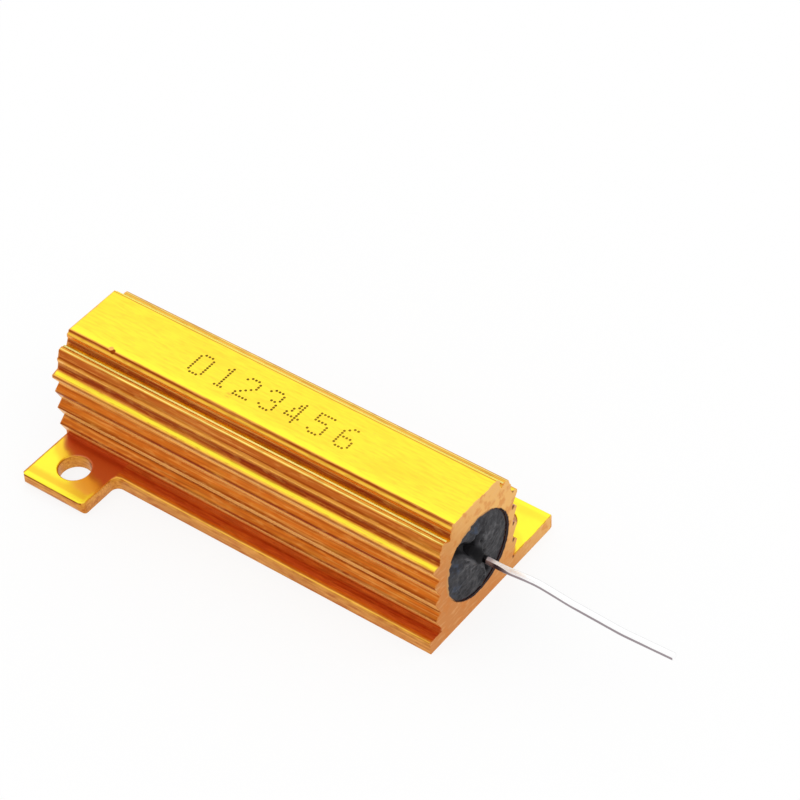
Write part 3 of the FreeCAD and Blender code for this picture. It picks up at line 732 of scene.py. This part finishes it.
    def _edges(self, dyed_and_shaded: Signal, place: tuple[Signal, ...], face_z: Signal) -> Signal:
        """Upright sides of the foot, the tabs and the bolt holes: a painted highlight on their rounded
        upper edges, a dark line of painted shade along the tabs' upper arris, and a painted highlight
        towards the top of each hole's wall.

        Args:
            dyed_and_shaded: The colour beneath.
            place: X, Y and Z.
            face_z: How far up the surface faces.

        Returns:
            The new colour.
        """
        graph, (x, y, z) = dyed_and_shaded.graph, place
        out = abs(y)
        low = z.step(*self.foot_height) * out.step(*self.foot_out)
        wear = graph.grain(self.wear)
        side = self.side_rise.over(DyeAndShade.TAN, z)
        side = self.worn_dark.over(side, wear)
        side = self.worn_pale.over(side, wear)
        dyed_and_shaded = graph.blend(low * face_z.step(*self.foot_facing), dyed_and_shaded, side)
        # Painted highlight, amber, on the rounded upper edge of the foot and tabs.
        dyed_and_shaded = graph.blend(low * face_z.band(*self.round_facing), dyed_and_shaded, DyeAndShade.AMBER)
        # Painted shade, umber, in a dark line along the tabs' upper arris.
        dyed_and_shaded = graph.blend(low * out.step(*self.arris_out) * z.step(*self.arris_height), dyed_and_shaded, DyeAndShade.UMBER)
        from_hole = (x * y.sign() - self.hole_along).diagonal(out - self.hole_out)
        # The hole wall: paler towards its top as a painted highlight, with a dark spot on it.
        wall = self.hole_dark_spot.over(self.hole_rise.over(DyeAndShade.TAN, z))
        return graph.blend(from_hole.step(*self.hole_edge), dyed_and_shaded, wall)

    def _sawn_mask(self, x: Signal, face_x: Signal) -> Signal:
        """Marks the two sawn ends, ragged where they turn into the sides."""
        ragged = (abs(x) + x.graph.grain(self.end_burrs) * self.end_ragged).step(*self.ragged_along)
        return (abs(face_x).step(*self.end_facing) * abs(x).step(*self.end_along)).most(ragged)

    def _sawn_face(self, y: Signal, z: Signal) -> Signal:
        """Dull tan of the sawn ends, paler up and to the right, with orange blotches, dark spots at the
        fins' valleys and, round the bore, the compound's dark rim colour as painted shadow.

        Args:
            y: Place across the end.
            z: Place up the end.

        Returns:
            The colour.
        """
        graph = y.graph
        patches = graph.grain(self.sawn_patches)
        tan = self.sawn_tan.over(self.sawn_warm, (y + z) * self.sawn_slope + patches * self.sawn_ragged)
        tan = self.sawn_orange.over(tan, patches)
        tan = self.sawn_pale.over(tan, graph.grain(self.sawn_streaks))
        # Dark spots at the valleys between the fins.
        up = (z - self.valley_spot_height + self.fin_pitch / 2) % self.fin_pitch - self.fin_pitch / 2
        out = y - self.valley_spot_out + patches * self.end_ragged - up * self.valley_spot_lean
        tan = self.valley_spot.over(tan, out.diagonal(up * self.valley_spot_flatness), z.step(*self.valley_spot_top))
        # Round the bore, the compound's dark rim colour: painted shadow of the gap at the bore's edge.
        return graph.blend(SmearedRim().inside(y, z - AXIS_HEIGHT), tan, CompoundFinish.rim)


@dataclass(frozen=True)
class BeadFinish:
    """A bead of the extrusion with a painted highlight, pale, along its upward crest and painted shade,
    deep orange, on its lower side.
    """

    crest: DyeAndShade = DyeAndShade.STRAW
    foot: DyeAndShade = DyeAndShade.TANGERINE
    wear: Grain = Grain((60.0,) * 3)
    ragged: float = 0.2
    crest_facing: Span = (-0.1, 0.5)
    metallic: float = 0.15
    roughness: float = 0.40

    def build(self) -> Material:
        """Makes the material."""
        graph = Graph.material("bead_painted_highlight")
        # Painted highlight on the upward-facing side and painted shade below; the noise only roughens the
        # border between them.
        upward = graph.facing()[2] + graph.grain(self.wear) * self.ragged
        colour = graph.blend(upward.step(*self.crest_facing), self.foot, self.crest)
        graph.surface(Base_Color=colour, Metallic=self.metallic, Roughness=self.roughness)
        return graph.owner


@dataclass(frozen=True)
class PeenedFinish:
    """Scorched olive-brown metal at the bottom of a peened dot, fainter towards the right end."""

    olive: Colour = (0.150, 0.080, 0.001)
    wear: Grain = Grain((1800.0,) * 3)
    brown: Veil = Veil(0.3, 0.7, (0.280, 0.130, 0.004))
    faint: Veil = Veil(-2.0, 12.0, (0.420, 0.230, 0.008), 0.6)
    roughness: float = 0.7

    def build(self) -> Material:
        """Makes the material."""
        graph = Graph.material("peened_dots")
        colour = self.brown.over(self.olive, graph.grain(self.wear))
        colour = self.faint.over(colour, graph.millimetres()[0])
        graph.surface(Base_Color=colour, Roughness=self.roughness, Specular_IOR_Level=FAINT_SHEEN)
        return graph.owner


@dataclass(frozen=True)
class TinFinish:
    """Tinned copper wire: clean and bright above, with painted shade on its lower side, darker near the
    compound, lighter grey painted shade on its side facing +Y, and a dark coat of compound at its root.
    """

    bright: Colour = (1.0, 1.0, 1.0)
    far_side_shade: Veil = Veil(0.35, 0.75, (0.56, 0.56, 0.57))
    grey: Colour = (0.33, 0.28, 0.30)
    dark: Colour = (0.050, 0.036, 0.046)
    smears: Grain = Grain((500.0, 1500.0, 1500.0), 3.0)
    shaded_side: Span = (-0.78, -0.63)
    shade_ragged: float = 0.2
    shade_near: float = 0.50
    shade_span: Span = (0.48, 0.62)
    near_root: Span = (29.6, 27.6)
    pink: Veil = Veil(27.5, 26.6, (0.50, 0.42, 0.44))
    pink_share: float = 0.4
    coat: Veil = Veil(26.50, 26.36, (0.008, 0.007, 0.009))
    coat_ragged: float = 0.3
    dulled_along: Span = (34.0, 27.0)
    dullness: float = 0.65
    roughness: float = 0.25
    unevenness: float = 0.1
    bump_depth: float = 0.006

    def build(self) -> Material:
        """Makes the material."""
        graph = Graph.material("tinned_copper")
        along = abs(graph.millimetres()[0])
        _, face_y, face_z = graph.facing()
        smears = graph.grain(self.smears)
        near = along.step(*self.near_root)
        # Painted shade on the side facing down and towards -Y, wider and darker near the compound; the
        # side facing +Y gets a grey painted shade.
        below = face_y * self.shaded_side[0] + face_z * self.shaded_side[1]
        shade = (below + smears * self.shade_ragged + near * self.shade_near).step(*self.shade_span)
        wire = self.far_side_shade.over(self.bright, face_y)
        wire = graph.blend(shade, wire, graph.blend(near, self.grey, self.dark))
        wire = self.pink.over(wire, along, (smears + self.pink_share).least(1.0))
        dulled = along.step(*self.dulled_along) * (1.0 - shade) * self.dullness
        graph.surface(
            Base_Color=self.coat.over(wire, along + smears * self.coat_ragged),
            Metallic=1.0 - dulled,
            Roughness=self.roughness + smears * self.unevenness,
        )
        graph.bump(smears, self.bump_depth)
        return graph.owner


@dataclass(frozen=True)
class SpottedFinish:
    """A plain material in two shades with faint spots."""

    name: str
    bright: Colour
    dull: Colour
    roughness: float
    metallic: float = 1.0
    spots: Grain = Grain((900.0,) * 3, 3.0)
    spread: Span = (0.35, 0.7)
    unevenness: float = 0.15
    bump_depth: float = 0.01

    def build(self) -> Material:
        """Makes the material."""
        graph = Graph.material(self.name)
        spots = graph.grain(self.spots)
        graph.surface(
            Base_Color=graph.blend(spots.step(*self.spread), self.bright, self.dull),
            Metallic=self.metallic,
            Roughness=self.roughness + spots * self.unevenness,
        )
        graph.bump(spots, self.bump_depth)
        return graph.owner


def dress(node: str, material: Material) -> None:
    """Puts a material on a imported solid, through its own slots.

    Args:
        node: The solid's node.
        material: What it wears.
    """
    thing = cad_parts[node]
    for index in range(len(thing.material_slots)):
        thing.material_slots[index].material = material
    LOG.info("%s wears %s", node, material.name)


def add_object(name: str, data: bpy.types.ID) -> bpy.types.Object:
    """Puts a mesh, a camera or a lamp into the scene."""
    thing = bpy.data.objects.new(name, data)
    bpy.context.scene.collection.objects.link(thing)
    return thing


def add_mesh(name: str, mesh: Mesh, material: Material) -> bpy.types.Object:
    """Turns a bmesh into an object.

    Args:
        name: Name of the object and its mesh.
        mesh: The shape; it is freed.
        material: Its material.

    Returns:
        The new object.
    """
    data = bpy.data.meshes.new(name)
    mesh.to_mesh(data)
    mesh.free()
    data.materials.append(material)
    LOG.info("%s has %d faces", name, len(data.polygons))
    return add_object(name, data)


def finish_piece(name: str, mesh: Mesh, material: Material) -> bpy.types.Object:
    """Turns a bmesh into a piece that rides on the part.

    Args:
        name: Name of the piece.
        mesh: The shape, in the part's frame; it is freed.
        material: Its material.

    Returns:
        The new object.
    """
    piece = add_mesh(name, mesh, material)
    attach(piece, BODY)
    return piece


@dataclass
class Housing:
    """The finned extrusion with its tabs."""

    bead_radius: float = 0.11 * MM
    bead_length: float = 49.8 * MM
    bead_out: float = 4.86 * MM
    bead_height: float = 13.61 * MM
    bead_sides: int = 16

    def build(self) -> None:
        """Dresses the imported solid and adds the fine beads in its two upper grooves."""
        dress("housing", AnodisedFinish().build())
        mesh = bmesh.new()
        for side in (-1.0, 1.0):
            place = Matrix.Translation((0.0, side * self.bead_out, self.bead_height))
            bmesh.ops.create_cone(
                mesh, cap_ends=True, segments=self.bead_sides, depth=self.bead_length,
                radius1=self.bead_radius, radius2=self.bead_radius,
                matrix=place @ Matrix.Rotation(math.pi / 2, 4, "Y"),
            )
        for face in mesh.faces:
            face.smooth = len(face.verts) == 4
        finish_piece("groove_beads", mesh, BeadFinish().build())


@dataclass
class WoundElement:
    """Core, winding and end caps, sealed inside the compound."""

    core: SpottedFinish = SpottedFinish(
        "unglazed_ceramic", (0.72, 0.69, 0.62), (0.60, 0.55, 0.46), 0.75,
        metallic=0.0, spots=Grain((2500.0,) * 3, 3.0), unevenness=0.0, bump_depth=0.02,
    )
    ribbon: SpottedFinish = SpottedFinish("resistance_alloy", (0.55, 0.52, 0.48), (0.38, 0.35, 0.32), 0.35)
    caps: SpottedFinish = SpottedFinish("cap_steel", (0.62, 0.62, 0.60), (0.48, 0.47, 0.45), 0.3)

    def build(self) -> None:
        """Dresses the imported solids."""
        dress("ceramic_core", self.core.build())
        dress("resistance_winding", self.ribbon.build())
        steel = self.caps.build()
        for side in SIDES:
            dress("end_cap_" + side, steel)


@dataclass
class Leads:
    """The two tinned copper wires."""

    def build(self) -> None:
        """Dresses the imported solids."""
        tin = TinFinish().build()
        for side in SIDES:
            dress("lead_" + side, tin)


@dataclass(frozen=True)
class Fold:
    """A ridge or furrow along a path on the end face, in millimetres from the axis."""

    path: tuple[Span, ...]
    width: float
    height: float
    steepness: float = 3.0

    def at(self, y: float, z: float) -> float:
        """Height that the fold adds at a place.

        Args:
            y: Place across the face.
            z: Place up the face.

        Returns:
            Height outwards, negative in a furrow.
        """
        spot = Vector((y, z))
        stretches = zip(self.path, self.path[1:])
        nearest = min(self._gap(spot, Vector(start), Vector(end)) for start, end in stretches)
        return self.height * math.exp(-((nearest / self.width) ** self.steepness))

    @staticmethod
    def _gap(spot: Vector, start: Vector, end: Vector) -> float:
        """Distance from a place to a straight stretch of the path."""
        run = end - start
        share = min(1.0, max(0.0, (spot - start).dot(run) / run.length_squared))
        return (spot - start - run * share).length


@dataclass
class Filling:
    """The dark compound: two swellings with a deep fold between them, drawn up round the lead."""

    half_length: float = 24.92 * MM
    radius: float = 5.18 * MM
    lead_radius: float = 0.42 * MM
    collar_radius: float = 1.15 * MM
    collar_rise: float = 1.0 * MM
    collar_curve: float = 1.3
    sink: float = 0.02
    border: float = 0.02
    border_fade: float = 0.45
    lumps: tuple[Triple, ...] = ((0.8, 0.0, 0.14), (2.1, 4.0, 0.10), (4.5, 9.0, 0.045))
    plain_relief: float = 0.2
    hollow: tuple[Span, ...] = (
        (18.79, 0.42), (18.79, 1.22), (18.39, 1.22), (18.39, 3.79), (13.98, 3.79), (13.98, 3.69),
    )
    folds: tuple[Fold, ...] = (
        Fold(((2.2, 2.6), (2.9, 0.9)), 2.0, 0.32),
        Fold(((-2.2, 0.2), (-1.2, -1.6), (-0.6, -3.2)), 1.7, 0.32),
        Fold(((-4.1, 3.0), (-2.3, 2.8)), 0.60, -0.55),
        Fold(((-2.3, 2.7), (-0.5, 1.0)), 0.64, -0.90),
        Fold(((-0.5, 1.4), (0.4, 2.65)), 0.38, -0.60),
        Fold(((-0.5, 1.0), (0.5, -0.5)), 0.56, -0.85),
        Fold(((0.6, -0.6), (1.7, -2.2), (2.0, -4.0)), 0.34, -0.48),
        Fold(((-3.0, 2.2), (-2.1, 1.5), (-1.25, 0.5), (0.0, -0.95)), 0.20, 0.38),
        Fold(((0.0, -1.0), (0.95, -2.6), (1.2, -4.0), (0.4, -4.6)), 0.20, 0.22),
        Fold(((-2.4, 0.7), (-1.3, 0.2), (-0.5, -0.7)), 0.22, 0.12),
        Fold(((-0.9, 4.3), (-0.1, 3.4), (0.5, 2.8), (1.1, 1.6)), 0.26, 0.20),
        Fold(((1.31, -0.51), (1.33, -0.48)), 0.22, -0.28),
        Fold(((0.81, 1.49), (0.84, 1.30)), 0.15, -0.24),
        Fold(((0.2, -3.3), (-0.2, -2.3)), 0.35, -0.16),
        Fold(((-2.6, -2.6), (-1.6, -3.6)), 0.35, -0.14),
    )
    face_rings: int = 60
    around: int = 192
    weld: float = 0.001 * MM
    face_margin: float = 0.01 * MM

    def build(self) -> None:
        """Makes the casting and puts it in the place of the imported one."""
        mesh = bmesh.new()
        self._spin_half(mesh)
        half = mesh.verts[:] + mesh.edges[:] + mesh.faces[:]
        bmesh.ops.mirror(mesh, geom=half, axis="X", merge_dist=self.weld)
        bmesh.ops.remove_doubles(mesh, verts=mesh.verts, dist=self.weld)
        self._press(mesh)
        bmesh.ops.recalc_face_normals(mesh, faces=mesh.faces)
        bmesh.ops.translate(mesh, verts=mesh.verts, vec=(0.0, 0.0, AXIS_HEIGHT * MM))
        for face in mesh.faces:
            face.smooth = True
        casting = finish_piece("compound_casting", mesh, CompoundFinish().build())
        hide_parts("moulding_compound")

    def _profile(self) -> list[Span]:
        """Half of the casting's section as distances along and from the axis, from outside to inside."""
        stops = [(0.0, self.radius)]
        for ring in range(self.face_rings + 1):
            share = ring / self.face_rings
            stops.append((self.half_length, self.radius + (self.lead_radius - self.radius) * share))
        stops += [(along * MM, out * MM) for along, out in self.hollow]
        stops.append((0.0, self.hollow[-1][1] * MM))
        return stops

    def _spin_half(self, mesh: Mesh) -> None:
        """Spins the profile about the axis, as an open shell that ends at the middle plane."""
        points = [mesh.verts.new((along, 0.0, out)) for along, out in self._profile()]
        edges = [mesh.edges.new(pair) for pair in zip(points, points[1:])]
        bmesh.ops.spin(
            mesh, geom=points + edges, cent=(0.0, 0.0, 0.0), axis=(1.0, 0.0, 0.0),
            angle=math.tau, steps=self.around, use_merge=True,
        )

    def _press(self, mesh: Mesh) -> None:
        """Moves the two end faces in and out to the relief that the casting left, and notes it on them."""
        layer = mesh.verts.layers.float.new(CompoundFinish.relief)
        for vert in mesh.verts:
            along, y, z = vert.co
            vert[layer] = self.plain_relief
            if abs(along) < self.half_length - self.face_margin:
                continue
            side = 1.0 if along > 0.0 else -1.0
            rise = self.relief(y / MM, z / MM, side)
            vert[layer] = rise
            vert.co.x = along + side * rise * MM

    def relief(self, y: float, z: float, side: float) -> float:
        """Height of the compound above its plain end face.

        Args:
            y: Place across the face in millimetres from the axis.
            z: Place up the face in millimetres from the axis.
            side: 1 for the end with the straight lead and -1 for the other.

        Returns:
            Height in millimetres, outwards.
        """
        out = math.hypot(y, z)
        inward = self.radius / MM - out
        if inward < self.border:
            return 0.0
        lumps = sum(
            noise.noise(Vector((y * scale, z * scale, side + shift))) * height
            for scale, shift, height in self.lumps
        )
        share = (self.collar_radius / MM - out) / (self.collar_radius - self.lead_radius) * MM
        share = min(1.0, max(0.0, share))
        collar = self.collar_rise / MM * share ** self.collar_curve
        folded = sum(fold.at(y * side, z * side) for fold in self.folds) * (1.0 - share)
        return (lumps + folded) * min(1.0, inward / self.border_fade) + collar - self.sink


@dataclass
class Marking:
    """Plain digits in peened dots on the top flat, where the real part is marked."""

    level: float = FLAT_HEIGHT * MM
    lift: float = 0.005 * MM
    column_pitch: float = 0.42 * MM
    row_pitch: float = 0.356 * MM
    top_row: float = 1.38 * MM
    dot_radius: float = 0.155 * MM
    dot_sides: int = 8
    rim_share: float = 0.4
    dish_share: float = 0.6
    left_edges: tuple[float, ...] = (-10.8, -7.5, -4.6, -1.5, 1.6, 4.8, 8.2)
    digits: tuple[str, ...] = (
        ".###. #...# #...# #...# #...# #...# #...# #...# .###.",
        "..#.. .##.. ..#.. ..#.. ..#.. ..#.. ..#.. ..#.. .###.",
        ".###. #...# ....# ....# ...#. ..#.. .#... #.... #####",
        ".###. #...# ....# ....# ..##. ....# ....# #...# .###.",
        "...#. ..##. ..##. .#.#. .#.#. #..#. ##### ...#. ...#.",
        "##### #.... #.... ####. ....# ....# ....# #...# .###.",
        "..##. .#... #.... #.... ####. #...# #...# #...# .###.",
    )

    def build(self) -> None:
        """Peens every dot of every digit."""
        mesh = bmesh.new()
        for left, rows in zip(self.left_edges, self.digits):
            for row, cells in enumerate(rows.split()):
                y = self.top_row - row * self.row_pitch
                for column, cell in enumerate(cells):
                    if cell == "#":
                        self._peen(mesh, left * MM + column * self.column_pitch, y)
        finish_piece("peened_digits", mesh, PeenedFinish().build())

    def _peen(self, mesh: Mesh, x: float, y: float) -> None:
        """Adds one dot: a low ring round a dished floor."""
        place = Matrix.Translation((x, y, self.level + self.lift))
        made = bmesh.ops.create_circle(
            mesh, cap_ends=True, segments=self.dot_sides, radius=self.dot_radius, matrix=place
        )
        bmesh.ops.inset_individual(
            mesh, faces=[made["verts"][0].link_faces[0]],
            thickness=self.dot_radius * self.rim_share, depth=-self.lift * self.dish_share,
        )


@dataclass
class Studio:
    """Pale floor, white surround, a soft lamp and the camera at the photograph's angle."""

    azimuth: float = math.radians(38.261)
    elevation: float = math.radians(43.982)
    roll: float = math.radians(-2.565)
    distance: float = 0.31573
    aim_right: float = 0.01213
    aim_up: float = 0.01109
    lens: float = 134.17
    sensor: float = 36.0
    clip_start: float = 0.01
    floor_radius: float = 1.5
    floor_sides: int = 96
    floor_drop: float = 0.02 * MM
    floor_colour: Colour = (0.97, 0.97, 0.97)
    shadow_loss: float = 0.84
    ambient: float = 1.0
    sun_energy: float = 0.12
    sun_spread: float = math.radians(50.0)
    sun_direction: Triple = (-0.45, 0.45, 0.77)

    def build(self) -> None:
        """Sets up everything that isn't part of the object."""
        self._add_camera()
        self._add_floor()
        self._add_world()
        self._add_lamp()

    def _add_camera(self) -> None:
        """Places the camera by its direction, roll and distance."""
        sin_az, cos_az = math.sin(self.azimuth), math.cos(self.azimuth)
        sin_el, cos_el = math.sin(self.elevation), math.cos(self.elevation)
        back = Vector((sin_az * cos_el, -cos_az * cos_el, sin_el))
        level = Vector((cos_az, sin_az, 0.0))
        upright = back.cross(level)
        right = level * math.cos(self.roll) + upright * math.sin(self.roll)
        up = upright * math.cos(self.roll) - level * math.sin(self.roll)
        place = back * self.distance + right * self.aim_right + up * self.aim_up
        data = bpy.data.cameras.new("camera")
        data.lens = self.lens
        data.sensor_width = self.sensor
        data.clip_start = self.clip_start
        camera = add_object("camera", data)
        turned = Matrix((right, up, back)).transposed().to_4x4()
        camera.matrix_world = Matrix.Translation(place) @ turned
        bpy.context.scene.camera = camera

    def _add_floor(self) -> None:
        """Lays a pale disc under the part."""
        mesh = bmesh.new()
        bmesh.ops.create_circle(mesh, cap_ends=True, segments=self.floor_sides, radius=self.floor_radius)
        bmesh.ops.translate(mesh, verts=mesh.verts, vec=(0.0, 0.0, -self.floor_drop))
        floor = add_mesh("floor", mesh, self._pale_material())

    def _pale_material(self) -> Material:
        """White that shows only a faint part of the shadow on it."""
        graph = Graph.material("pale_floor")
        graph.surface(Base_Color=self.floor_colour, Roughness=1.0, Specular_IOR_Level=0.0)
        plain = Signal(graph, graph.shader.outputs[0])
        glow = graph.add("ShaderNodeEmission", inputs={"Color": (1.0, 1.0, 1.0), "Strength": 1.0})
        share = graph.looked_at() * self.shadow_loss
        graph.show(graph.add("ShaderNodeMixShader", inputs={0: share, 1: plain, 2: glow}))
        return graph.owner

    def _add_world(self) -> None:
        """Surrounds the scene with plain white."""
        world = bpy.data.worlds.new("surround")
        bpy.context.scene.world = world
        Graph(world).surface(Color=(1.0, 1.0, 1.0), Strength=self.ambient)

    def _add_lamp(self) -> None:
        """Hangs a broad soft lamp up behind the part's left end."""
        data = bpy.data.lights.new("key_lamp", "SUN")
        data.energy = self.sun_energy
        data.angle = self.sun_spread
        lamp = add_object("key_lamp", data)
        lamp.rotation_mode = "QUATERNION"
        lamp.rotation_quaternion = Vector(self.sun_direction).to_track_quat("Z", "Y")


def main() -> None:
    """Builds the resistor's looks piece by piece."""
    logging.basicConfig(level=logging.INFO, format="%(name)s: %(message)s")
    bpy.context.scene.view_settings.view_transform = "Standard"
    for part in (Housing(), Filling(), WoundElement(), Leads(), Marking(), Studio()):
        part.build()


if __name__ == "__main__":
    main()
